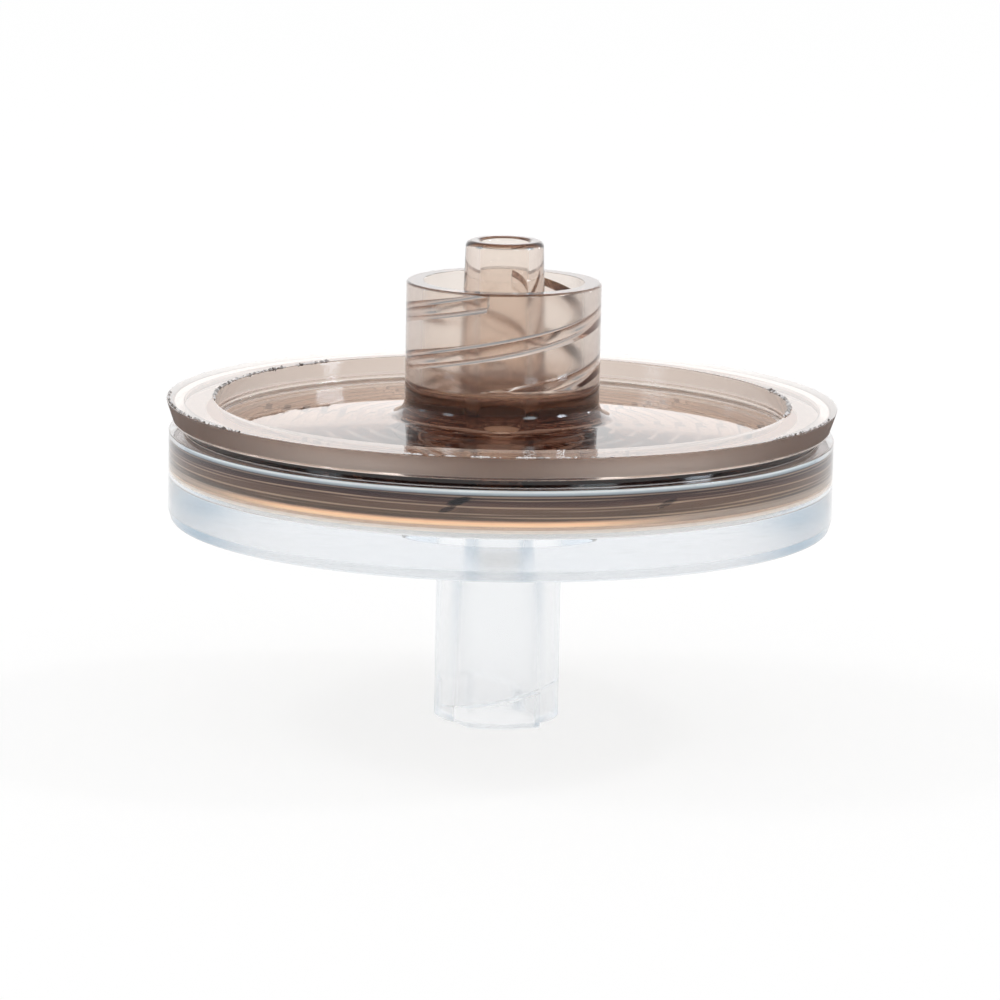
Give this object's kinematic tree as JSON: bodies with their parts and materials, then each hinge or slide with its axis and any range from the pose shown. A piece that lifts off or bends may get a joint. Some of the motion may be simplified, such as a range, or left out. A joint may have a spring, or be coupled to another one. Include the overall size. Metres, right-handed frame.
{
  "type": "syringe filter",
  "caption": "Round syringe filter: a smoke-tinted outlet housing with a threaded male Luer, welded into a clear cup with a female Luer stem.",
  "frame": {"origin": "centre of the stem's foot, on the surface that the filter stands on", "axes": "+Z along the flow axis from the inlet stem to the outlet cone; the front is -Y, where one lug of the foot faces"},
  "size_m": [0.0342, 0.0342, 0.0247],
  "materials": {
    "smoke_plastic": "transparent smoke-brown moulded plastic, polished",
    "clear_plastic": "clear, faintly bluish moulded plastic, polished",
    "membrane": "matt white microporous film"
  },
  "bodies": {
    "root": {"outlet_housing": "smoke_plastic", "inlet_housing": "clear_plastic", "membrane": "membrane"}
  },
  "joints": []
}
